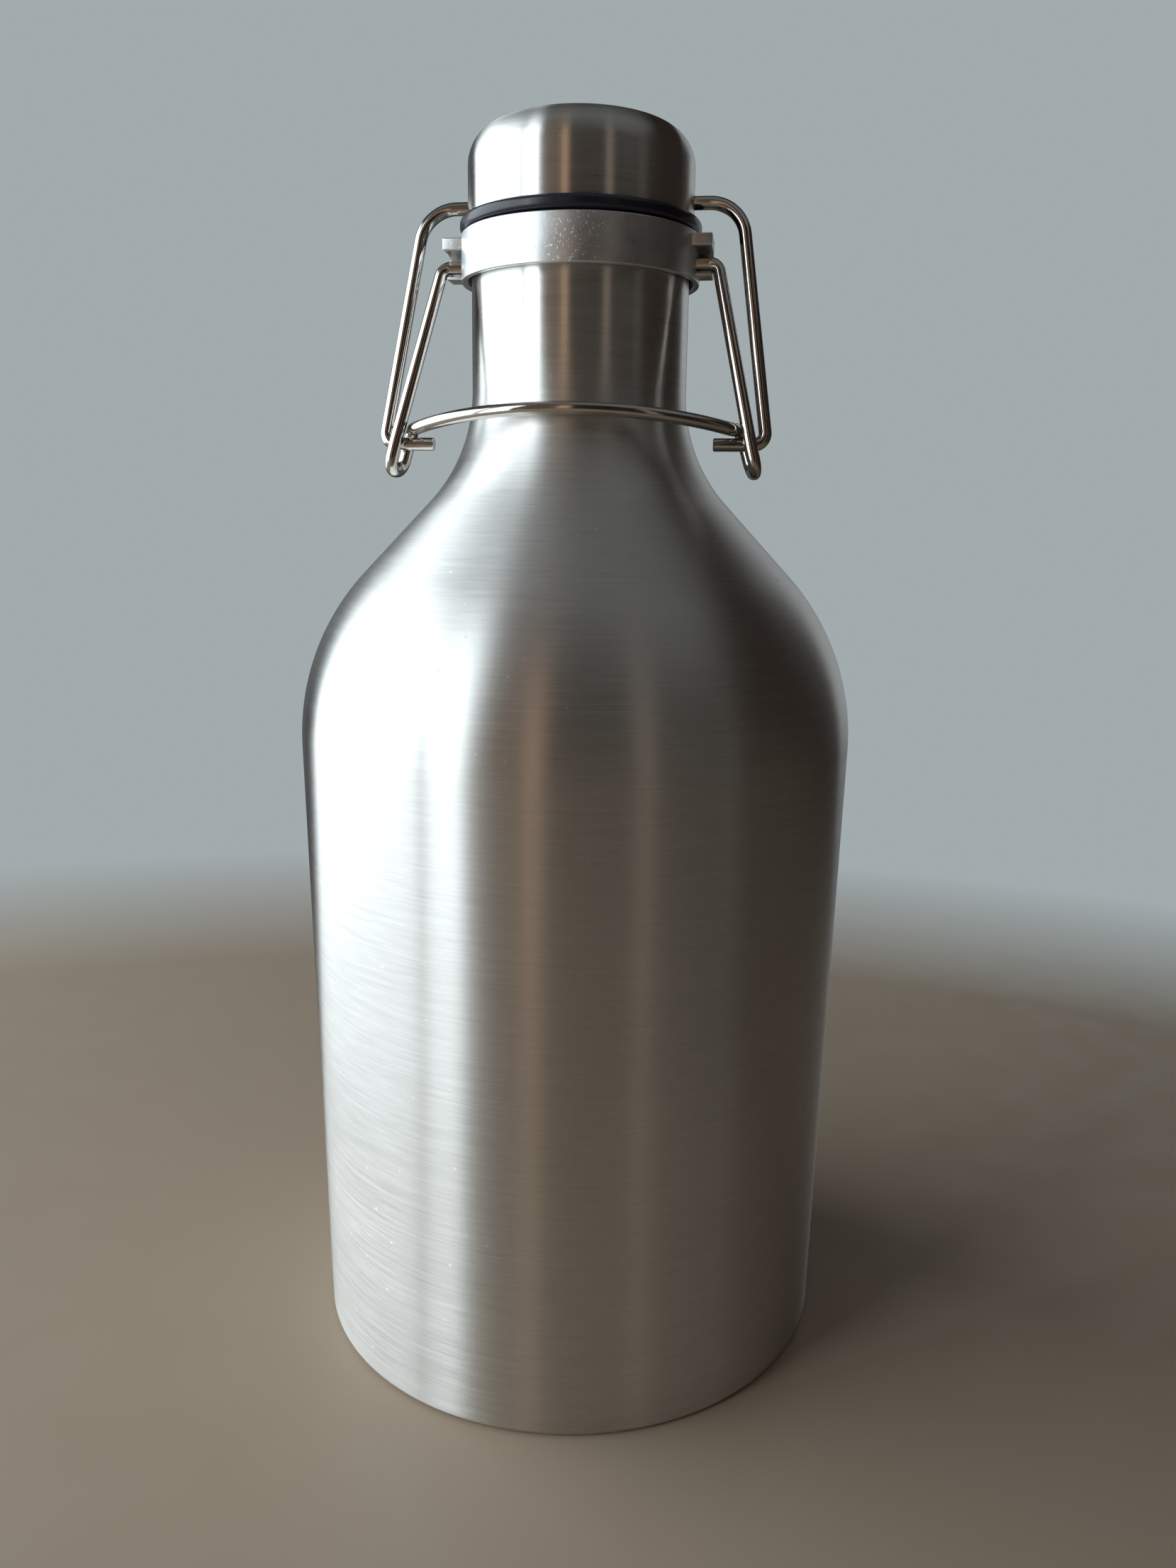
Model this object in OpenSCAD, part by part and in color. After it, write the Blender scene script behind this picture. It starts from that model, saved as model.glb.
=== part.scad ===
// Double-wall swing-top growler: an insulated steel bottle with a wire-bail cap.
// The bottle stands on z = 0 with its axis on Z. The lever's thumb handle is at the front, -Y.

/* [Bottle] */
// Widest diameter of the body
body_d = 127.6; // [120:0.1:134]
// Diameter at the foot
foot_d = 122.4; // [116:0.1:127]
// Height of the widest point
body_h = 143; // [130:1:160]
// Radius of the shoulder dome
dome_r = 54.8; // [50:0.1:56]
// Diameter of the neck
neck_d = 48; // [46:0.1:50]
// Radius of the flare from shoulder to neck
flare_r = 35.4; // [30:0.1:36]
// Height at which the neck becomes straight
neck_z = 221; // [219:0.5:224]
// Height of the mouth
mouth_z = 253.2; // [252:0.1:254]
// Radius of the edge at the foot
foot_edge_r = 1.6; // [1:0.1:2.5]

/* [Walls] */
// Thickness of the outer shell and outer base
outer_wall = 0.7; // [0.6:0.1:1]
// Vacuum gap between the two walls
vacuum_gap = 2.2; // [1.8:0.1:2.6]
// Thickness of the inner vessel and inner base
inner_wall = 0.6; // [0.5:0.1:0.8]
// Height of the recessed panel under the bottle
base_recess = 4; // [3:0.1:5]
// Height of the inner floor
floor_z = 12; // [11:0.1:15]

/* [Collar] */
// Outside diameter of the collar
collar_d = 52.5; // [52:0.1:53.5]
// Height of the collar's lower edge
collar_z = 243.4; // [242.5:0.1:244]
// Width of a lug, front to back
lug_w = 9; // [8:0.1:10]
// Distance from the bottle's axis to a lug's outer end
lug_reach = 29.3; // [28.5:0.1:29.3]
// Height of a lug
lug_h = 8; // [7.8:0.1:8.4]

/* [Swing closure] */
// Diameter of the closure wires
wire_d = 2.8; // [2.6:0.1:2.8]
// Running clearance around a wire in its hole, on the radius
wire_gap = 0.1; // [0.05:0.01:0.1]
// Lever pivot, front to back
pivot_y = -3.5; // [-4:0.1:-3]
// Height of the lever pivot
pivot_z = 247; // [246.5:0.1:247.5]
// Bail hook, front to back
hook_y = -10.5; // [-11:0.1:-10]
// Height of the bail hook
hook_z = 209; // [208.5:0.1:209.5]
// Height of the bail's cross hole in the cap
cross_z = 260; // [259.8:0.1:260.5]
// Half the width of the bail at its top corners
bail_top_x = 35; // [34.5:0.1:36]
// Half the width of the bail at its hooks
bail_low_x = 42.4; // [42.3:0.1:43]
// Half the gap between the ends of the two hooks
hook_end_x = 31; // [30:0.1:33]
// Bend radius of the bail's top corners
bail_corner_r = 8; // [6:0.5:9]
// Half the width of the lever at its eyes
eye_x = 39; // [38.5:0.1:39]
// Radius of the thumb handle's arc
handle_r = 51; // [48:0.5:54]
// Half the angle of the thumb handle's arc
handle_half = 41; // [38:0.5:42]
// Rise of the thumb handle towards the front, in degrees
handle_tilt = 13.5; // [10:0.5:16]
// Height of the middle of the thumb handle
handle_z = 215.3; // [214:0.1:217]

/* [Cap] */
// Diameter of the cap
cap_d = 49.4; // [48.5:0.1:50]
// Height of the cap's top
cap_top = 275.4; // [274:0.1:277]
// Height of the cap's lower edge
cap_low = 256.4; // [256:0.1:256.6]
// Radius of the cap's top edge
cap_edge_r = 7.7; // [5:0.1:9]
// Crown of the cap's top
cap_crown = 0.5; // [0.2:0.1:1]
// Thickness of the cap shell
cap_wall = 0.8; // [0.6:0.1:1]
// Diameter of the gasket
gasket_d = 53; // [52:0.1:53.4]
// Clearance between the gasket and the mouth
seal_gap = 0.3; // [0.3:0.05:0.4]
// Diameter of the plug's lip, under the gasket
plug_d = 36.6; // [34:0.1:37]
// Diameter at the lower end of the plug
plug_low_d = 30; // [28:0.1:31]
// Depth of the plug below the gasket
plug_h = 6; // [4:0.1:6]

/* [Hidden] */
$fn = 128;

steel = [0.80, 0.80, 0.79];
bright_steel = [0.88, 0.88, 0.87];
wire_steel = [0.74, 0.72, 0.70];
rubber = [0.16, 0.14, 0.18];
plastic = [0.22, 0.22, 0.23];
solder = [0.62, 0.63, 0.65];
getter_grey = [0.45, 0.45, 0.47];

arc_step = 3;
edge_steps = 8;
small_round_steps = 4;
crown_steps = 4;
hole_fn = 48;
wire_fn = 32;

wire_r = wire_d / 2;
neck_r = neck_d / 2;
liner_depth = outer_wall + vacuum_gap;
full_depth = liner_depth + inner_wall;
mouth_r = neck_r - full_depth;
rim_z = mouth_z - inner_wall;

// Bottle base
flange_w = 5;
panel_inset = 7;
panel_ramp = 2;
dimple_r = 9;
dimple_h = 1.2;
evac_hole_r = 1;
getter_x = 28;
getter_r = 6.5;
dish_inset = 5;
dish_rise = 2.4;
dish_bead_w = 1.25;
dish_bead_h = 1;
bead_gap = 0.15;
rim_chamfer = [0.65, 0.3];
base_rim_gap = 0.6;
plate_slant = 0.4;

// Collar
collar_round = 0.3;
collar_bore_gap = 0.9;
collar_shelf = 3;
collar_bore_edge = 0.3;
lug_root = 0.6;
lug_above = 5.4;
lug_slot_gap = 1;
lug_slot_rise = 0.5;
lug_low_front = 1.2;

// Wires: each straight reaches a lap into its bends, which are a step fatter, so that the two join cleanly.
joint_lap = 0.05;
joint_step = 0.01;
eye_front = 3.2;
eye_back = 3;
eye_low = 5.9;
eye_bend = 2.95;
lever_top_bend = 2.4;
lever_leg_bend = 20;
lever_root_bend = 3;
pin_in = 25.1;
pin_out = 30.4;
handle_gap = 0.3;
root_x = 34.9;
hook_bend = 2.4;

// Cap
plug_neck_r = 15;
plug_lip_h = 0.8;
plug_edge = 0.5;
core_above = 5;
gasket_round = 1.2;
gasket_low = mouth_z + seal_gap;

// Shoulder: the centres of the dome and the flare, and the angle of the line that touches both.
dome_c = [body_d / 2 - dome_r, body_h];
flare_c = [neck_r + flare_r, neck_z];
span = flare_c - dome_c;
blend = atan2(span[1], span[0]) - acos((dome_r + flare_r) / norm(span));
// Side wall: it leaves the foot and touches the dome at this angle below the level.
foot_p = [foot_d / 2, foot_edge_r];
drop = dome_c - foot_p;
lean = atan2(drop[1], -drop[0]) - acos(dome_r / norm(drop));

function polar(c, r, a) = c + r * [cos(a), sin(a)];
function arc(c, r, a0, a1, n) = [for (i = [0:n]) polar(c, r, a0 + (a1 - a0) * i / n)];
function steps(a) = max(2, ceil(abs(a) / arc_step));

// The bottle's outline, moved inwards by d: the side wall, the dome, and the flare up to the neck.
function wall_x(z, d) = (foot_p + (z - foot_p[1]) * [tan(lean), 1])[0] - d / cos(lean);
function dome(d) = arc(dome_c, dome_r - d, -lean, blend, steps(blend + lean));
function flare(d) = [for (i = [0:steps(blend)])
    let (a = blend * (1 - i / steps(blend))) flare_c - (flare_r + d) * [cos(a), sin(a)]];
function reversed(v) = [for (i = [len(v) - 1:-1:0]) v[i]];

module turned(outline) {
    rotate_extrude() polygon(outline);
}

// ---- Bottle ----

// Outer skin from the flange that it stands on up to its widest point.
module body_shell() {
    flange_in = foot_d / 2 - flange_w;
    edge_c = [wall_x(foot_edge_r, 0) - foot_edge_r, foot_edge_r];
    color(steel) turned(concat(
        [[flange_in, 0]],
        arc(edge_c, foot_edge_r, -90, 0, edge_steps),
        [dome(0)[0], dome(outer_wall)[0]],
        reversed(arc(edge_c, foot_edge_r - outer_wall, -90, 0, edge_steps)),
        [[flange_in, outer_wall]]));
}

// Outer skin of the shoulder, welded to the body and to the neck and polished flush.
module shoulder_shell() {
    color(steel) turned(concat(
        dome(0), [flare(0)[0], flare(outer_wall)[0]], reversed(dome(outer_wall))));
}

// Outer skin of the flare and the neck.
module neck_shell() {
    color(steel) turned(concat(
        flare(0), [[neck_r, rim_z], [neck_r - outer_wall, rim_z]], reversed(flare(outer_wall))));
}

// Pressed plate that closes the outer shell: a rim on the shell's flange, a raised panel and a dimple.
module outer_base() {
    rim_out = wall_x(2 * outer_wall, outer_wall) - base_rim_gap;
    step_x = foot_d / 2 - panel_inset;
    low = outer_wall;
    high = base_recess;
    slant = plate_slant;
    color(steel) difference() {
        turned([[0, high + dimple_h], [dimple_r - dimple_h, high + dimple_h], [dimple_r, high],
                [step_x - panel_ramp, high], [step_x, low], [rim_out, low],
                [rim_out, low + outer_wall], [step_x + slant, low + outer_wall],
                [step_x - panel_ramp + slant, high + outer_wall], [dimple_r + slant, high + outer_wall],
                [dimple_r - dimple_h + slant, high + dimple_h + outer_wall],
                [0, high + dimple_h + outer_wall]]);
        translate([0, 0, high]) cylinder(r = evac_hole_r, h = dimple_h + 2 * outer_wall, $fn = wire_fn);
    }
}

// Bead that closes the evacuation hole after the air is drawn out.
module evacuation_seal() {
    top = base_recess + dimple_h;
    low = base_recess + 0.2;
    top_r = 5.4;
    low_r = 3.5;
    color(solder) {
        turned([[0, low], [low_r, low], [top_r - 0.2, top - 0.3], [top_r, top], [0, top]]);
        translate([0, 0, top]) cylinder(r = evac_hole_r, h = outer_wall, $fn = wire_fn);
    }
}

// Gas-absorbing pill, clipped to the inside of the outer base.
module getter() {
    cup_r = 5.2;
    cup_h = 3.2;
    flange_h = 0.5;
    edge = 0.6;
    color(getter_grey) translate([getter_x, 0, base_recess + outer_wall])
        turned([[0, 0], [getter_r, 0], [getter_r, flange_h], [cup_r, flange_h],
                [cup_r, cup_h - edge], [cup_r - edge, cup_h], [0, cup_h]]);
}

// Drawn liner: it follows the shell, and its top is turned out over the shell to make the mouth.
module inner_vessel() {
    lip_r = 0.75 * inner_wall;
    color(bright_steel) turned(concat(
        [[wall_x(floor_z, full_depth), floor_z], [wall_x(floor_z, liner_depth), floor_z]],
        dome(liner_depth),
        flare(liner_depth),
        [[neck_r - liner_depth, rim_z], [neck_r, rim_z]],
        arc([neck_r - lip_r, mouth_z - lip_r], lip_r, 0, 90, small_round_steps),
        arc([mouth_r + lip_r, mouth_z - lip_r], lip_r, 90, 180, small_round_steps),
        reversed(flare(full_depth)),
        reversed(dome(full_depth))));
}

// Floor of the liner: a dish, domed up in the middle against the vacuum. Its rim is welded under the
// liner's edge, and a small bead inside the liner centres it.
module inner_base() {
    r = wall_x(floor_z, full_depth);
    rim_r = wall_x(floor_z, liner_depth);
    bead_r = r - bead_gap;
    dish_r = r - dish_inset;
    sag_r = (pow(dish_r, 2) + pow(dish_rise, 2)) / (2 * dish_rise);
    half = asin(dish_r / sag_r);
    c = [0, floor_z + dish_rise - sag_r];
    under = floor_z - inner_wall;
    color(bright_steel) turned(concat(
        reversed(arc(c, sag_r, 90 - half, 90, edge_steps)),
        [[bead_r - dish_bead_w, floor_z], [bead_r, floor_z + dish_bead_h], [bead_r, floor_z],
         [rim_r, floor_z], [rim_r, under + rim_chamfer[1]], [r - rim_chamfer[0], under]],
        arc(c, sag_r - inner_wall, 90 - half, 90, edge_steps)));
}

// ---- Collar ----

// Side outline of a lug: a hook that is open to the front, so that the lever can be put in. The upper jaw
// reaches further forward than the lower one, and the slot leaves more room over the pin than under it.
module lug_outline() {
    top = pivot_z + lug_above;
    low = top - lug_h;
    slot_r = wire_r + lug_slot_gap;
    slot_z = pivot_z + lug_slot_rise;
    difference() {
        translate([pivot_y - lug_w / 2, low]) square([lug_w, lug_h]);
        translate([pivot_y, slot_z]) circle(r = slot_r);
        translate([pivot_y - lug_w, slot_z - slot_r]) square([lug_w, 2 * slot_r]);
        translate([pivot_y - lug_w - lug_low_front, low - lug_h]) square([lug_w, slot_z - low + lug_h]);
    }
}

module neck_collar() {
    r = collar_d / 2;
    bore_r = neck_r + collar_bore_gap;
    shelf = mouth_z - collar_shelf;
    color(bright_steel) difference() {
        union() {
            turned(concat(
                [[bore_r, collar_z + collar_bore_edge], [bore_r + collar_bore_edge, collar_z]],
                arc([r - collar_round, collar_z + collar_round], collar_round, -90, 0, small_round_steps),
                arc([r - collar_round, mouth_z - collar_round], collar_round, 0, 90, small_round_steps),
                [[neck_r, mouth_z], [neck_r, shelf], [bore_r, shelf - collar_bore_gap]]));
            for (side = [0, 1]) mirror([side, 0, 0]) difference() {
                rotate([90, 0, 90]) linear_extrude(lug_reach) lug_outline();
                cylinder(r = r - lug_root, h = cap_top);
            }
        }
        translate([-lug_reach, pivot_y, pivot_z]) rotate([0, 90, 0])
            cylinder(r = wire_r + wire_gap, h = 2 * lug_reach, $fn = hole_fn);
    }
}

// ---- Wires ----

function unit(v) = v / norm(v);
function turn_at(p, i) = acos(unit(p[i] - p[i - 1]) * unit(p[i + 1] - p[i]));
function setback(p, r, i) = i == 0 || i == len(p) - 1 ? 0 : r[i] * tan(turn_at(p, i) / 2);
function flip_x(p) = [-p[0], p[1], p[2]];

// A round bar through the points p, bent to the radius r[i] at each inner point.
module bent_wire(p, r) {
    last = len(p) - 1;
    for (i = [0:last - 1]) {
        along = unit(p[i + 1] - p[i]);
        from = p[i] + along * (setback(p, r, i) - (i == 0 ? 0 : joint_lap));
        to = p[i + 1] - along * (setback(p, r, i + 1) - (i == last - 1 ? 0 : joint_lap));
        straight(from, to);
    }
    for (i = [1:last - 1]) {
        into = unit(p[i] - p[i - 1]);
        out = unit(p[i + 1] - p[i]);
        side = unit(out - into * (out * into));
        start = p[i] - into * setback(p, r, i);
        axes(start + side * r[i], -side, into)
            rotate_extrude(angle = turn_at(p, i))
                translate([r[i], 0]) circle(r = wire_r + joint_step, $fn = wire_fn);
    }
}

module straight(a, b) {
    along = unit(b - a);
    other = abs(along[2]) > 0.9 ? [1, 0, 0] : [0, 0, 1];
    side = unit(cross(other, along));
    axes(a, side, cross(along, side)) cylinder(r = wire_r, h = norm(b - a), $fn = wire_fn);
}

// Moves its children to the frame with origin o, first axis x and second axis y.
module axes(o, x, y) {
    z = cross(x, y);
    multmatrix([[x[0], y[0], z[0], o[0]], [x[1], y[1], z[1], o[1]], [x[2], y[2], z[2], o[2]], [0, 0, 0, 1]])
        children();
}

// Radius of the bottle's outside at height z on the flare.
function flare_x(z) = flare_c[0] - sqrt(pow(flare_r, 2) - pow(min(z - neck_z, 0), 2));

// The thumb handle's arc lies in a plane that rises to the front.
handle_mid = [0, -flare_x(handle_z) - wire_r - handle_gap, handle_z];
handle_dir = [0, -cos(handle_tilt), sin(handle_tilt)];
handle_corner = handle_mid + handle_dir * handle_r * (1 / cos(handle_half) - 1);
handle_root = [root_x, 0, 0] + handle_corner - handle_dir * root_x * tan(handle_half);

lever_side = [
    [pin_in, pivot_y, pivot_z],
    [pin_out, pivot_y, pivot_z],
    [eye_x, hook_y - eye_front, hook_z],
    [eye_x + 1.6, hook_y - eye_front, hook_z - eye_low],
    [eye_x + 0.5, hook_y + eye_back, hook_z - eye_low],
    [eye_x - 2.2, hook_y + eye_back, hook_z + eye_front],
    handle_root];
lever_bends = [0, lever_top_bend, lever_leg_bend, eye_bend, eye_bend, eye_bend, lever_root_bend];

module lever_wire() {
    color(wire_steel) bent_wire(
        concat(lever_side, [handle_corner], [for (p = reversed(lever_side)) flip_x(p)]),
        concat(lever_bends, [handle_r], reversed(lever_bends)));
}

// The bail lies in one plane, through the cross hole and the hooks.
bail_drop = [0, hook_y, hook_z - cross_z];
bail_side = [
    [bail_top_x, 0, cross_z],
    [bail_low_x, 0, cross_z] + bail_drop,
    [hook_end_x, 0, cross_z] + bail_drop];
bail_bends = [bail_corner_r, hook_bend, 0];

module bail_wire() {
    color(wire_steel) bent_wire(
        concat([for (p = reversed(bail_side)) flip_x(p)], bail_side),
        concat(reversed(bail_bends), bail_bends));
}

// ---- Cap ----

module cross_hole(r) {
    translate([-cap_d, 0, cross_z]) rotate([0, 90, 0]) cylinder(r = r, h = 2 * cap_d, $fn = hole_fn);
}

// The cap's outline from its lower edge to the middle of its crowned top, moved inwards by d.
function cap_outline(d) =
    let (flat_r = cap_d / 2 - cap_edge_r)
    let (crown_r = (pow(flat_r, 2) + pow(cap_crown, 2)) / (2 * cap_crown))
    concat(
        arc([flat_r, cap_top - cap_crown - cap_edge_r], cap_edge_r - d, 0, 90, 2 * edge_steps),
        [for (i = [1:crown_steps]) let (x = flat_r * (1 - i / crown_steps))
            [x, cap_top - crown_r + sqrt(pow(crown_r, 2) - pow(x, 2)) - d]]);

module cap_shell() {
    r = cap_d / 2;
    color(steel) difference() {
        turned(concat(
            [[r - cap_wall, cap_low], [r, cap_low]], cap_outline(0), reversed(cap_outline(cap_wall))));
        cross_hole(wire_r + 2 * wire_gap);
    }
}

// Moulded core: it fills the lower part of the shell, carries the bail, and holds the gasket on its plug.
module cap_core() {
    r = cap_d / 2 - cap_wall;
    low_r = plug_low_d / 2;
    low = gasket_low - plug_h;
    top = cross_z + core_above;
    color(plastic) difference() {
        turned([[0, low], [low_r - plug_edge, low], [low_r, low + plug_edge],
                [plug_d / 2, gasket_low - plug_lip_h], [plug_d / 2, gasket_low], [plug_neck_r, gasket_low],
                [plug_neck_r, cap_low], [r, cap_low], [r, top], [0, top]]);
        cross_hole(wire_r + wire_gap);
    }
}

// Silicone ring that seals on the mouth. It is stretched over the plug's lip.
module cap_gasket() {
    r = gasket_d / 2;
    color(rubber) turned(concat(
        [[plug_neck_r, gasket_low]],
        arc([r - gasket_round, gasket_low + gasket_round], gasket_round, -90, 0, small_round_steps),
        arc([r - gasket_round, cap_low - gasket_round], gasket_round, 0, 90, small_round_steps),
        [[plug_neck_r, cap_low]]));
}

body_shell();
shoulder_shell();
neck_shell();
outer_base();
inner_vessel();
inner_base();
getter();
evacuation_seal();
neck_collar();
lever_wire();
bail_wire();
cap_shell();
cap_core();
cap_gasket();
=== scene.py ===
"""Looks of a double-wall swing-top growler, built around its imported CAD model."""

import math

import bmesh
import bpy
from mathutils import Matrix, Vector


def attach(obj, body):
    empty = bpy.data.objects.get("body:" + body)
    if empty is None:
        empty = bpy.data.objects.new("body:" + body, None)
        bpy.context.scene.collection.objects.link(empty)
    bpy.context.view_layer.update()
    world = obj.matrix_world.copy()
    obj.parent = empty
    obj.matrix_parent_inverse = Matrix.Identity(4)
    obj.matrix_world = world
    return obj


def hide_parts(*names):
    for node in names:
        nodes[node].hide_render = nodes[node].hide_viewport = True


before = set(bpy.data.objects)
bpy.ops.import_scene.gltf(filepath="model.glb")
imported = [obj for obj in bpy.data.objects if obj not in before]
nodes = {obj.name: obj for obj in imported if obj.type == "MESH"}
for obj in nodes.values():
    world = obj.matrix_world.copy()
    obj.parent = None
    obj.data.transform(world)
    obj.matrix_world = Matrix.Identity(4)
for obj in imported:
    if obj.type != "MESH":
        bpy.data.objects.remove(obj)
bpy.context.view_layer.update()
MM = 0.001


# ---- Camera ----

CAMERA_AT, LENS, SENSOR_W = (0.0443, -0.2799, 0.1919), 27.53, 36
CAMERA_YAW, CAMERA_PITCH, CAMERA_ROLL = -8.37, 12.21, 0.74


def make_camera():
    """The photograph's viewpoint: a phone held close, a little above the shoulder and looking down."""
    yaw, pitch, roll = math.radians(CAMERA_YAW), math.radians(CAMERA_PITCH), math.radians(CAMERA_ROLL)
    forward = Vector((math.sin(yaw) * math.cos(pitch), math.cos(yaw) * math.cos(pitch), -math.sin(pitch)))
    level = Vector((math.cos(yaw), -math.sin(yaw), 0))
    upright = level.cross(forward)
    right = level * math.cos(roll) + upright * math.sin(roll)
    up = upright * math.cos(roll) - level * math.sin(roll)
    data = bpy.data.cameras.new("camera")
    data.sensor_width = SENSOR_W
    data.sensor_fit = "AUTO"
    data.lens = LENS
    data.clip_start, data.clip_end = 0.01, 20
    camera = bpy.data.objects.new("camera", data)
    turn = Matrix((right, up, -forward)).transposed()
    camera.matrix_world = Matrix.Translation(CAMERA_AT) @ turn.to_4x4()
    bpy.context.scene.collection.objects.link(camera)
    bpy.context.scene.camera = camera


# ---- Light and stage ----

DAYLIGHT = (0.86, 0.96, 1.0)
# Distances of the window's and the room's panels from the bottle, in metres.
NEAR, FAR = 0.9, 1.2


def towards(azimuth):
    """Level unit vector from the bottle; azimuth 0 is the front, and it grows towards +X."""
    a = math.radians(azimuth)
    return Vector((math.sin(a), -math.cos(a), 0))


def softbox(name, azimuth, height, distance, size, power, colour):
    """An upright panel that faces the bottle's axis, with its centre at that height.

    The bottle shows each panel as an upright streak: the window's two panes with the frame between them,
    then the room, in dim warm strips. The azimuth and the width of a panel set those of its streak.
    """
    data = bpy.data.lights.new(name, "AREA")
    data.shape = "RECTANGLE"
    data.size, data.size_y = size
    data.energy = power
    data.color = colour
    light = bpy.data.objects.new(name, data)
    out = towards(azimuth)
    light.location = out * distance + Vector((0, 0, height))
    light.rotation_mode = "QUATERNION"
    light.rotation_quaternion = (-out).to_track_quat("-Z", "Y")
    light.visible_camera = False
    bpy.context.scene.collection.objects.link(light)
    return light


def make_lights():
    softbox("window_front", -41.8, 0.45, NEAR, (0.25, 1.20), 3.4, DAYLIGHT)
    softbox("window_back", -87, 0.45, NEAR, (1.20, 1.20), 12.6, DAYLIGHT)
    softbox("wall_left", -150, 0.50, FAR, (0.60, 1.20), 0.22, (0.86, 0.95, 1.0))
    softbox("card_front", -18, 0.50, FAR, (0.50, 1.30), 0.24, (1.0, 0.66, 0.44))
    softbox("strip_front", -7, 0.50, FAR, (0.14, 1.30), 0.26, (1.0, 0.66, 0.44))
    softbox("strip_right", 36, 0.50, FAR, (0.14, 1.30), 0.12, (1.0, 0.82, 0.66))
    softbox("strip_far", 71, 0.50, FAR, (0.20, 1.30), 0.03, (0.95, 1.0, 0.95))
    softbox("fill_right", 158, 0.50, FAR, (0.60, 1.00), 0.7, (0.90, 0.97, 1.0))
    ceiling = softbox("ceiling", 5, 1.35, 0.30, (2.60, 1.20), 1.5, (0.88, 0.98, 1.0))
    shoulder = Vector((0, 0, 0.2))
    ceiling.rotation_quaternion = (shoulder - ceiling.location).to_track_quat("-Z", "Y")


def make_world():
    """A pale backdrop where the camera sees it, and a dark warm room in the reflections."""
    world = bpy.data.worlds.new("world")
    bpy.context.scene.world = world
    world.use_nodes = True
    tree = world.node_tree
    tree.nodes.clear()
    out = tree.nodes.new("ShaderNodeOutputWorld")
    mix = tree.nodes.new("ShaderNodeMixShader")
    rays = tree.nodes.new("ShaderNodeLightPath")
    room, seen = tree.nodes.new("ShaderNodeBackground"), tree.nodes.new("ShaderNodeBackground")
    room.inputs["Color"].default_value = (0.024, 0.0185, 0.0155, 1)
    seen.inputs["Color"].default_value = (0.36, 0.41, 0.42, 1)
    tree.links.new(rays.outputs["Is Camera Ray"], mix.inputs["Fac"])
    tree.links.new(room.outputs[0], mix.inputs[1])
    tree.links.new(seen.outputs[0], mix.inputs[2])
    tree.links.new(mix.outputs[0], out.inputs["Surface"])


FLOOR_CENTRE, FLOOR_R = (0, -0.35, -0.00005), 0.80
# The floor fades out between these distances from its centre, in metres.
FADE_FROM, FADE_TO = 0.58, 0.76


def make_stage():
    """A plain round floor, which fades into the backdrop behind the bottle."""
    spokes = 96
    turns = [2 * math.pi * i / spokes for i in range(spokes)]
    rim = [(FLOOR_R * math.cos(a), FLOOR_R * math.sin(a), 0) for a in turns]
    mesh = bpy.data.meshes.new("stage_floor")
    mesh.from_pydata(rim, [], [tuple(range(spokes))])
    floor = bpy.data.objects.new("stage_floor", mesh)
    floor.location = FLOOR_CENTRE
    bpy.context.scene.collection.objects.link(floor)
    floor.data.materials.append(floor_material())


# ---- Materials ----

class Nodes:
    """A material's node tree, with short calls to add nodes and join them."""

    def __init__(self, name):
        self.material = bpy.data.materials.new(name)
        self.material.use_nodes = True
        self.tree = self.material.node_tree
        self.shader = self.tree.nodes["Principled BSDF"]

    def put(self, socket, value):
        """Links an output to the socket, or sets the socket to a plain value."""
        if isinstance(value, bpy.types.NodeSocket):
            self.tree.links.new(value, socket)
        else:
            socket.default_value = value

    def add(self, kind, inputs=(), out=0, **settings):
        """Adds a node with its inputs and settings, and returns the output numbered out."""
        node = self.tree.nodes.new("ShaderNode" + kind)
        for key, value in settings.items():
            setattr(node, key, value)
        for key, value in dict(inputs).items():
            self.put(node.inputs[key], value)
        return node.outputs[out]

    def math(self, operation, *values):
        return self.add("Math", enumerate(values), operation=operation)

    def position(self):
        return self.add("TexCoord", out="Object")

    def height(self):
        """Height above the foot, in metres."""
        return self.add("SeparateXYZ", {0: self.position()}, out=2)

    def stretched(self, along, across):
        """Coordinates for marks that run round the Z axis: along and across are their rates, per metre."""
        split = self.tree.nodes.new("ShaderNodeSeparateXYZ")
        self.tree.links.new(self.position(), split.inputs[0])
        x, y, z = split.outputs
        radius = self.math("SQRT", self.math("ADD", self.math("MULTIPLY", x, x), self.math("MULTIPLY", y, y)))
        return self.add("CombineXYZ", {
            "X": self.math("MULTIPLY", x, along),
            "Y": self.math("MULTIPLY", y, along),
            "Z": self.math("MULTIPLY", self.math("SUBTRACT", radius, z), across)})

    def noise(self, where, scale, detail, roughness=0.5):
        return self.add("TexNoise", {"Vector": where, "Scale": scale, "Detail": detail,
                                     "Roughness": roughness})

    def remap(self, value, low, high, to_low, to_high):
        return self.add("MapRange", {"Value": value, "From Min": low, "From Max": high,
                                     "To Min": to_low, "To Max": to_high})

    def spread(self, noise, to_low, to_high):
        """Maps the range where most of a noise lies to another."""
        return self.remap(noise, 0.3, 0.7, to_low, to_high)

    def mix(self, factor, a, b):
        node = self.tree.nodes.new("ShaderNodeMix")
        node.data_type = "RGBA"
        self.put(node.inputs[0], factor)
        self.put(node.inputs[6], a)
        self.put(node.inputs[7], b)
        return node.outputs[2]

    def bump(self, height, distance, normal=None):
        """Relief that is distance deep, in metres."""
        inputs = {"Height": height, "Distance": distance, "Strength": 1.0}
        if normal is not None:
            inputs["Normal"] = normal
        return self.add("Bump", inputs)

    def finish(self, **values):
        """Sets the shader's inputs, with _ for each space in their names, and returns the material."""
        for key, value in values.items():
            self.put(self.shader.inputs[key.replace("_", " ")], value)
        return self.material


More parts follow.
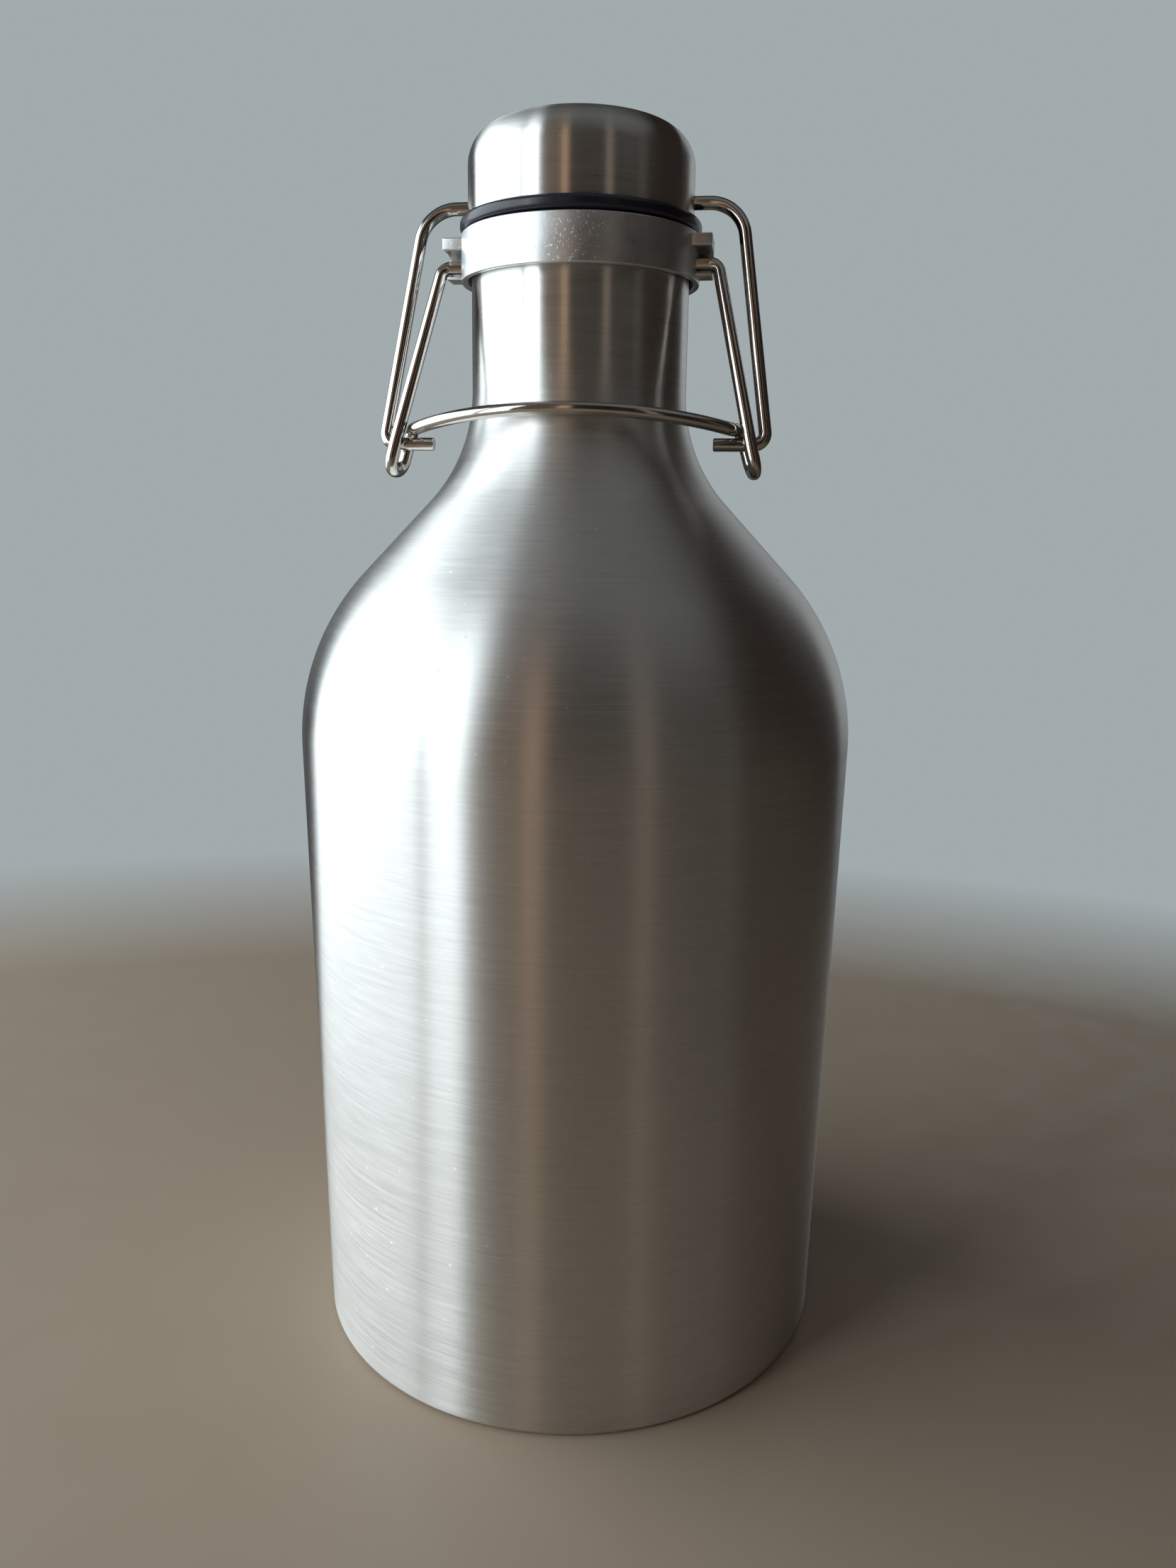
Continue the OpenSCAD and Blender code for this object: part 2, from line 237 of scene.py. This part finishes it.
def floor_material():
    """Light tan, fine-grained, and clear towards its rim."""
    m = Nodes("stage_floor")
    grain = m.noise(m.position(), 60, 4)
    reach = m.add("VectorMath", {0: m.position()}, out=1, operation="LENGTH")
    return m.finish(Base_Color=(0.46, 0.36, 0.27, 1), Roughness=m.spread(grain, 0.42, 0.56),
                    Alpha=m.remap(reach, FADE_FROM, FADE_TO, 1, 0))


def tint(colour, factor=1.0):
    """A colour times a factor, as a shader takes it."""
    return tuple(min(1, c * factor) for c in colour) + (1,)


# Depths of the brush's strokes and of the finer speckle on them, in metres.
STROKE_DEPTH, SPECKLE_DEPTH = 0.000015, 0.000004
# Heights, in metres, over which the brushing changes: into the dome, out of it, and into the neck.
DOME_RISE, DOME_END, NECK_RISE = (0.150, 0.185), (0.212, 0.235), (0.208, 0.226)


def brushed_steel(name, colour, rough, lean, grain=1.0, uneven=0.0):
    """Steel brushed round the axis.

    rough is how dull it is, lean how much more it smears along the axis than round it, and grain how deep
    the strokes are. uneven is how much the brushing changes up the bottle: it is softer on the dome and
    finer on the neck.
    """
    m = Nodes(name)
    fine = m.noise(m.stretched(110, 4200), 1, 3, 0.6)
    coarse = m.noise(m.stretched(30, 1100), 1, 3, 0.65)
    cloud = m.noise(m.position(), 22, 3)
    speckle = m.noise(m.position(), 2600, 2, 0.6)
    dust = m.remap(m.noise(m.position(), 700, 1), 0.765, 0.79, 0, 1)
    strokes = m.math("ADD", m.math("MULTIPLY", fine, 0.6), m.math("MULTIPLY", coarse, 0.4))
    tone = m.mix(m.spread(strokes, 0, 1), tint(colour, 0.85), tint(colour, 1.08))
    gloss = m.math("ADD", m.spread(strokes, rough - 0.035, rough + 0.035),
                   m.spread(cloud, -0.015, 0.015))
    height = m.height()
    dome = m.math("MULTIPLY", m.remap(height, *DOME_RISE, 0, uneven), m.remap(height, *DOME_END, 1, 0))
    neck = m.remap(height, *NECK_RISE, 0, uneven)
    gloss = m.math("ADD", gloss, m.math("MULTIPLY", m.math("SUBTRACT", dome, neck), 0.07))
    relief = m.bump(strokes, STROKE_DEPTH * grain)
    relief = m.bump(speckle, SPECKLE_DEPTH * grain, normal=relief)
    return m.finish(Base_Color=m.mix(dust, tone, tint(colour, 1.2)), Metallic=1.0,
                    Roughness=m.math("ADD", gloss, m.math("MULTIPLY", dust, 0.25)),
                    Anisotropic=m.math("SUBTRACT", lean, m.math("MULTIPLY", dome, 0.2)),
                    Anisotropic_Rotation=0.25, Normal=relief)


def cast_steel(name, colour):
    """Satin cast steel with fine pits."""
    m = Nodes(name)
    pits = m.noise(m.position(), 1700, 4, 0.65)
    cloud = m.noise(m.position(), 160, 3)
    hollow = m.remap(pits, 0.28, 0.40, 0, 1)
    relief = m.math("ADD", m.math("MULTIPLY", hollow, 0.8), m.math("MULTIPLY", cloud, 1.5))
    tone = m.mix(m.math("MULTIPLY", hollow, cloud), tint(colour, 0.86), tint(colour, 1.02))
    return m.finish(Base_Color=tone, Metallic=1.0, Roughness=m.spread(cloud, 0.32, 0.42),
                    Normal=m.bump(relief, 0.00003))


def polished_wire(name):
    """Drawn and polished wire, with a faint lengthwise unevenness."""
    m = Nodes(name)
    drawn = m.noise(m.position(), 260, 3)
    return m.finish(Base_Color=m.mix(drawn, (0.50, 0.465, 0.43, 1), (0.62, 0.59, 0.56, 1)), Metallic=1.0,
                    Roughness=m.spread(drawn, 0.07, 0.15), Normal=m.bump(drawn, 0.00001))


def rubber(name):
    """Dark violet silicone with a satin skin."""
    m = Nodes(name)
    skin = m.noise(m.position(), 900, 3)
    return m.finish(Base_Color=m.mix(skin, (0.006, 0.0065, 0.016, 1), (0.012, 0.013, 0.027, 1)),
                    Roughness=m.spread(skin, 0.25, 0.33), Normal=m.bump(skin, 0.000012),
                    Coat_Weight=0.25, Coat_Roughness=0.3)


def moulded_plastic(name):
    """Black plastic with a fine matte skin."""
    m = Nodes(name)
    skin = m.noise(m.position(), 900, 2)
    return m.finish(Base_Color=m.mix(skin, (0.030, 0.030, 0.033, 1), (0.040, 0.040, 0.043, 1)),
                    Roughness=m.spread(skin, 0.38, 0.46), Normal=m.bump(skin, 0.00002))


def dull_metal(name, colour, rough):
    """Unpolished metal, clouded."""
    m = Nodes(name)
    cloud = m.noise(m.position(), 400, 4)
    return m.finish(Base_Color=m.mix(cloud, tint(colour, 0.8), tint(colour)), Metallic=1.0,
                    Roughness=m.spread(cloud, rough - 0.06, rough + 0.06),
                    Normal=m.bump(cloud, 0.00006))


def paint(node, material):
    """Gives a CAD node its finish."""
    for slot in nodes[node].material_slots:
        slot.material = material


# ---- Shapes. All measures below are in millimetres, on the same axes as the CAD. ----

def crease(piece, sharp=34):
    """Shades a piece smooth, but keeps an edge hard where two faces meet at more than sharp degrees."""
    bm = bmesh.new()
    bm.from_mesh(piece.data)
    bmesh.ops.remove_doubles(bm, verts=bm.verts, dist=0.001 * MM)
    bmesh.ops.recalc_face_normals(bm, faces=bm.faces)
    for edge in bm.edges:
        edge.smooth = edge.calc_face_angle(0) < math.radians(sharp)
    for face in bm.faces:
        face.smooth = True
    bm.to_mesh(piece.data)
    bm.free()
    return piece


def new_piece(name, points, faces, material):
    """An object in the scene, made of points in millimetres."""
    mesh = bpy.data.meshes.new(name)
    mesh.from_pydata([[c * MM for c in p] for p in points], [], faces)
    mesh.materials.append(material)
    piece = bpy.data.objects.new(name, mesh)
    bpy.context.scene.collection.objects.link(piece)
    return crease(piece)


def turned(name, outline, material, segments=192):
    """A closed outline of (radius, height) points, turned round the bottle's axis."""
    angles = [2 * math.pi * i / segments for i in range(segments)]
    points = [(r * math.cos(a), r * math.sin(a), z) for a in angles for r, z in outline]
    n = len(outline)
    faces = []
    for i in range(segments):
        here, there = i * n, (i + 1) % segments * n
        for j in range(n):
            k = (j + 1) % n
            faces.append((here + j, there + j, there + k, here + k))
    return new_piece(name, points, faces, material)


def arc(centre, radius, start, end, step=2.0):
    """Points of an arc between two angles, about step degrees apart."""
    count = max(3, math.ceil(abs(end - start) / step))
    turn = [math.radians(start + (end - start) * i / count) for i in range(count + 1)]
    return [(centre[0] + radius * math.cos(a), centre[1] + radius * math.sin(a)) for a in turn]


def rounded_path(points, bends, step=6.0):
    """The centre line of a bar through points, with each corner bent to its radius."""
    points = [Vector(p) for p in points]
    path = [points[0]]
    for before, corner, after, radius in zip(points, points[1:], points[2:], bends[1:]):
        into, out = (corner - before).normalized(), (after - corner).normalized()
        turn = into.angle(out)
        back = radius * math.tan(turn / 2)
        side = (out - into * into.dot(out)).normalized()
        start = corner - into * back
        count = max(4, math.ceil(math.degrees(turn) / min(step, 150 / radius)))
        for i in range(count + 1):
            a = turn * i / count
            path.append(start + into * radius * math.sin(a) + side * radius * (1 - math.cos(a)))
    path.append(points[-1])
    return path


def wire(name, path, radius, material, sides=28):
    """A round bar swept along path. Its cut ends are slightly chamfered."""
    first, last = (path[1] - path[0]).normalized(), (path[-1] - path[-2]).normalized()
    chamfer = 0.12 * radius
    path = [path[0], path[0] + first * chamfer] + path[1:-1] + [path[-1] - last * chamfer, path[-1]]
    radii = [radius - chamfer] + [radius] * (len(path) - 2) + [radius - chamfer]
    side = first.orthogonal().normalized()
    points = []
    for i, (here, r) in enumerate(zip(path, radii)):
        along = (path[min(i + 1, len(path) - 1)] - path[max(i - 1, 0)]).normalized()
        side = (side - along * side.dot(along)).normalized()
        other = along.cross(side)
        for k in range(sides):
            a = 2 * math.pi * k / sides
            points.append(here + (side * math.cos(a) + other * math.sin(a)) * r)
    faces = []
    for i in range(len(path) - 1):
        for k in range(sides):
            n = (k + 1) % sides
            faces.append((i * sides + k, i * sides + n, (i + 1) * sides + n, (i + 1) * sides + k))
    faces.append(tuple(range(sides))[::-1])
    faces.append(tuple(range((len(path) - 1) * sides, len(path) * sides)))
    return new_piece(name, points, faces, material)


def baked(piece):
    """Applies a piece's modifiers to its mesh."""
    mesh = bpy.data.meshes.new_from_object(piece.evaluated_get(bpy.context.evaluated_depsgraph_get()))
    piece.modifiers.clear()
    piece.data = mesh
    return crease(piece)


def combined(piece, other, operation):
    """Adds another closed piece to this one, or cuts it away, and deletes it."""
    step = piece.modifiers.new("combine", "BOOLEAN")
    step.operation, step.solver, step.object = operation, "EXACT", other
    baked(piece)
    bpy.data.objects.remove(other)
    return piece


def prism_faces(n):
    """Faces of a prism whose points are one end's n points, then the other's."""
    sides = [(i, (i + 1) % n, n + (i + 1) % n, n + i) for i in range(n)]
    return sides + [tuple(range(n))[::-1], tuple(range(n, 2 * n))]


def bar(radius, y, z, material, half_length=60, sides=48):
    """A plain round bar along X, through the point y, z."""
    turns = [2 * math.pi * i / sides for i in range(sides)]
    points = [(x, y + radius * math.cos(a), z + radius * math.sin(a))
              for x in (-half_length, half_length) for a in turns]
    return new_piece("bar", points, prism_faces(sides), material)


# Outline of the bottle, as in the CAD: a leaning wall, a dome, a straight, a flare and a neck.
FOOT_R, BODY_R, NECK_R = 61.2, 63.8, 24
FOOT_EDGE, DOME_R, FLARE_R = 1.6, 54.8, 35.4
WIDEST_Z, NECK_Z, MOUTH_Z = 143, 221, 253.2
# Depths below that outline: the shell's inside, and the liner's outside and inside.
SHELL_WALL, LINER_OUT, LINER_IN = 0.7, 2.9, 3.5
LINER_WALL, LINER_FLOOR, LINER_LIP, FLANGE_W = 0.6, 12, 0.45, 5
# Centres of the dome's and the flare's arcs, and the angles, in degrees, of the straight and the wall.
dome_c = (BODY_R - DOME_R, WIDEST_Z)
flare_c = (NECK_R + FLARE_R, NECK_Z)
span = (flare_c[0] - dome_c[0], flare_c[1] - dome_c[1])
blend = math.degrees(math.atan2(span[1], span[0]) - math.acos((DOME_R + FLARE_R) / math.hypot(*span)))
drop = (dome_c[0] - FOOT_R, dome_c[1] - FOOT_EDGE)
lean = math.degrees(math.atan2(drop[1], -drop[0]) - math.acos(DOME_R / math.hypot(*drop)))


def wall_x(z, inwards):
    """Radius of the leaning wall at height z, at a depth below its outside."""
    return FOOT_R + (z - FOOT_EDGE) * math.tan(math.radians(lean)) - inwards / math.cos(math.radians(lean))


def dome_and_flare(inwards):
    """The outline from the widest part to the neck, at a depth below its outside."""
    flare = arc(flare_c, FLARE_R + inwards, 180 + blend, 180, 1.5)
    return arc(dome_c, DOME_R - inwards, -lean, blend, 1.5) + flare


def bottle_skin(material):
    """The shell: a flange under the foot, the wall, the dome and the neck."""
    flange_in = FOOT_R - FLANGE_W
    edge_c = (wall_x(FOOT_EDGE, 0) - FOOT_EDGE, FOOT_EDGE)
    top = MOUTH_Z - LINER_WALL
    outline = [(flange_in, 0)] + arc(edge_c, FOOT_EDGE, -90, 0, 7.5) + dome_and_flare(0)
    outline += [(NECK_R, top), (NECK_R - SHELL_WALL, top)]
    outline += dome_and_flare(SHELL_WALL)[::-1] + arc(edge_c, FOOT_EDGE - SHELL_WALL, 0, -90, 7.5)
    outline.append((flange_in, SHELL_WALL))
    return turned("bottle_skin", outline, material, 256)


def liner(material):
    """The liner, whose top is turned out over the shell to make the mouth."""
    seat, lip = MOUTH_Z - LINER_WALL, LINER_LIP
    mouth_r = NECK_R - LINER_IN
    outline = [(wall_x(LINER_FLOOR, LINER_IN), LINER_FLOOR), (wall_x(LINER_FLOOR, LINER_OUT), LINER_FLOOR)]
    outline += dome_and_flare(LINER_OUT) + [(NECK_R - LINER_OUT, seat), (NECK_R, seat)]
    outline += arc((NECK_R - lip, MOUTH_Z - lip), lip, 0, 90, 10)
    outline += arc((mouth_r + lip, MOUTH_Z - lip), lip, 90, 180, 10) + dome_and_flare(LINER_IN)[::-1]
    return turned("liner_skin", outline, material)


# The cap: its radius, its top and rim, the radius of its round edge, the rise of its crown, and its wall.
CAP_R, CAP_TOP, CAP_LOW, CAP_EDGE, CAP_CROWN, CAP_WALL = 24.7, 275.4, 256.4, 7.7, 0.5, 0.8
CROSS_Z, CROSS_HOLE_R = 260, 1.6
GASKET_R, GASKET_HOLE_R, GASKET_LOW, GASKET_SOFT = 26.5, 15, 253.5, 1.2
# A turned outline that closes on the axis stops this short of it.
ON_AXIS = 0.01


def cap_outline(inwards):
    """The cap's round edge and its slightly crowned top, at a depth below its outside."""
    flat_r = CAP_R - CAP_EDGE
    crown_r = (flat_r ** 2 + CAP_CROWN ** 2) / (2 * CAP_CROWN)
    outline = arc((flat_r, CAP_TOP - CAP_CROWN - CAP_EDGE), CAP_EDGE - inwards, 0, 90, 3)
    rings = 16
    for i in range(1, rings):
        x = flat_r * (1 - i / rings)
        outline.append((x, CAP_TOP - crown_r + math.sqrt(crown_r ** 2 - x ** 2) - inwards))
    return outline


def cap_skin(material):
    """The cup over the cap, with the cross hole for the bail."""
    edge = 0.25
    outline = [(CAP_R - CAP_WALL, CAP_LOW)] + arc((CAP_R - edge, CAP_LOW + edge), edge, -90, 0, 15)
    outline += cap_outline(0) + [(ON_AXIS, CAP_TOP), (ON_AXIS, CAP_TOP - CAP_WALL)]
    outline += cap_outline(CAP_WALL)[::-1]
    hole = bar(CROSS_HOLE_R, 0, CROSS_Z, material)
    return combined(turned("cap_skin", outline, material), hole, "DIFFERENCE")


def gasket_ring(material):
    """The silicone ring under the cap, with a round outer edge."""
    edge_x = GASKET_R - GASKET_SOFT
    outline = [(GASKET_HOLE_R, GASKET_LOW)]
    outline += arc((edge_x, GASKET_LOW + GASKET_SOFT), GASKET_SOFT, -90, 0, 9)
    outline += arc((edge_x, CAP_LOW - GASKET_SOFT), GASKET_SOFT, 0, 90, 9)
    outline.append((GASKET_HOLE_R, CAP_LOW))
    return turned("gasket_ring", outline, material)


# The lever's pivot as (y, z), and the place where the bail hooks into the lever.
PIVOT, PIN_HOLE_R = (-3.5, 247.0), 1.5
HOOK_Y, HOOK_Z, WIRE_R = -10.5, 209.0, 1.4
# The lever's pin runs from PIN_IN to PIN_OUT. Its eye reaches this far before, behind and below the hook.
PIN_IN, PIN_OUT = 25.1, 30.4
EYE_FRONT, EYE_BACK, EYE_DROP = 3.2, 3, 5.9


def mirrored(points, bends):
    """A bar's points and bends, continued on the other side of the bottle."""
    other = [(-x, y, z) for x, y, z in points[::-1]]
    return points + other, bends + bends[::-1]


def lever_path():
    """Pin, leg, eye round the hook, and the thumb handle's arc, which rises to the front."""
    tilt, radius, half = math.radians(13.5), 51, math.radians(41)
    middle_z, gap, root_x = 215.3, 0.3, 34.9
    flare_x = flare_c[0] - math.sqrt(FLARE_R ** 2 - (middle_z - NECK_Z) ** 2)
    rise = Vector((0, -math.cos(tilt), math.sin(tilt)))
    corner = Vector((0, -flare_x - WIRE_R - gap, middle_z)) + rise * radius * (1 / math.cos(half) - 1)
    root = corner - rise * root_x * math.tan(half)
    front, back, low = HOOK_Y - EYE_FRONT, HOOK_Y + EYE_BACK, HOOK_Z - EYE_DROP
    side = [(PIN_IN, *PIVOT), (PIN_OUT, *PIVOT), (39, front, HOOK_Z), (40.6, front, low),
            (39.5, back, low), (36.8, back, HOOK_Z + 3.2), (root_x, root.y, root.z)]
    bends = [0, 2.4, 20, 2.95, 2.95, 2.95, 3]
    points = side + [tuple(corner)] + [(-x, y, z) for x, y, z in side[::-1]]
    return rounded_path(points, bends + [radius] + bends[::-1])


def bail_path():
    """Hook, leg and the cross bar through the cap."""
    side = [(31, HOOK_Y, HOOK_Z), (42.4, HOOK_Y, HOOK_Z), (35, 0, CROSS_Z)]
    return rounded_path(*mirrored(side, [0, 2.4, 8]))


COLLAR_R, COLLAR_Z, COLLAR_EDGE, COLLAR_BORE = 26.25, 243.4, 0.3, 24.9
# The bore narrows to the neck at a shelf this far below the mouth, over a cone this high.
SHELF_DEPTH, SHELF_CONE = 3, 0.9
LUG_BACK, LUG_FRONT, LUG_LOW_FRONT = 1.0, -8.0, -4.7
LUG_ROOT, LUG_REACH, LUG_TOP, LUG_LOW = 20, 29.3, 252.4, 244.4
LUG_SLOT_R, LUG_SLOT_Z, LUG_SOFT = 2.4, 247.5, 0.28
# The lugs start inside the ring's wall, at this radius.
LUG_START_R = 25.6


def lug(side, material):
    """One lug: a hook in side view, open to the front, with the soft edges of a casting."""
    bite = arc((PIVOT[0], LUG_SLOT_Z), LUG_SLOT_R, 90, -90, 10)
    outline = [(LUG_BACK, LUG_LOW), (LUG_BACK, LUG_TOP), (LUG_FRONT, LUG_TOP)]
    outline += [(LUG_FRONT, LUG_SLOT_Z + LUG_SLOT_R)] + bite
    outline += [(LUG_LOW_FRONT, LUG_SLOT_Z - LUG_SLOT_R), (LUG_LOW_FRONT, LUG_LOW)]
    points = [(side * x, y, z) for x in (LUG_ROOT, LUG_REACH) for y, z in outline]
    piece = new_piece("lug", points, prism_faces(len(outline)), material)
    soften = piece.modifiers.new("soften", "BEVEL")
    soften.width, soften.segments, soften.limit_method = LUG_SOFT * MM, 3, "ANGLE"
    soften.angle_limit = math.radians(40)
    baked(piece)
    low, high = 230, 270
    core = [(ON_AXIS, low), (LUG_START_R, low), (LUG_START_R, high), (ON_AXIS, high)]
    return combined(piece, turned("core", core, material), "DIFFERENCE")


def collar(material):
    """The turned ring with its two lugs, and the holes for the lever's pins."""
    top, edge, shelf = MOUTH_Z, COLLAR_EDGE, MOUTH_Z - SHELF_DEPTH
    outline = [(COLLAR_BORE, COLLAR_Z + edge), (COLLAR_BORE + edge, COLLAR_Z)]
    outline += arc((COLLAR_R - edge, COLLAR_Z + edge), edge, -90, 0, 15)
    outline += arc((COLLAR_R - edge, top - edge), edge, 0, 90, 15)
    outline += [(NECK_R, top), (NECK_R, shelf), (COLLAR_BORE, shelf - SHELF_CONE)]
    ring = turned("collar", outline, material)
    for side in (-1, 1):
        combined(ring, lug(side, material), "UNION")
    return combined(ring, bar(PIN_HOLE_R, *PIVOT, material), "DIFFERENCE")


def place(piece, body, slot, *replaced):
    """Puts a piece on its body, in place of the CAD nodes that it replaces, and hides those nodes. The slot
    argument is not used.
    """
    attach(piece, body)
    if replaced:
        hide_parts(*replaced)


make_camera()
make_lights()
make_world()
make_stage()

body_steel = brushed_steel("body_steel", (0.80, 0.79, 0.775), 0.37, 1.0, uneven=1.0)
cap_steel = brushed_steel("cap_steel", (0.78, 0.77, 0.755), 0.30, 1.0, 0.7)
liner_steel = brushed_steel("liner_steel", (0.82, 0.81, 0.80), 0.30, 0.4, 0.5)
wire_steel = polished_wire("wire_steel")

place(bottle_skin(body_steel), "bottle", "body_steel", "body_shell", "shoulder_shell", "neck_shell")
place(liner(liner_steel), "bottle", "liner_steel", "inner_vessel")
place(collar(cast_steel("collar_steel", (0.83, 0.85, 0.87))), "bottle", "collar_steel", "neck_collar")
place(wire("lever", lever_path(), WIRE_R, wire_steel), "lever", "wire_steel", "lever_wire")
place(wire("bail", bail_path(), WIRE_R, wire_steel), "bail", "wire_steel", "bail_wire")
place(cap_skin(cap_steel), "cap", "cap_steel", "cap_shell")
place(gasket_ring(rubber("silicone")), "cap", "silicone", "cap_gasket")

paint("outer_base", brushed_steel("base_steel", (0.74, 0.73, 0.72), 0.34, 0.5))
paint("inner_base", liner_steel)
paint("cap_core", moulded_plastic("core_plastic"))
paint("getter", dull_metal("getter_alloy", (0.35, 0.35, 0.36), 0.6))
paint("evacuation_seal", dull_metal("solder", (0.60, 0.61, 0.63), 0.35))

bpy.context.scene.view_settings.view_transform = "Standard"
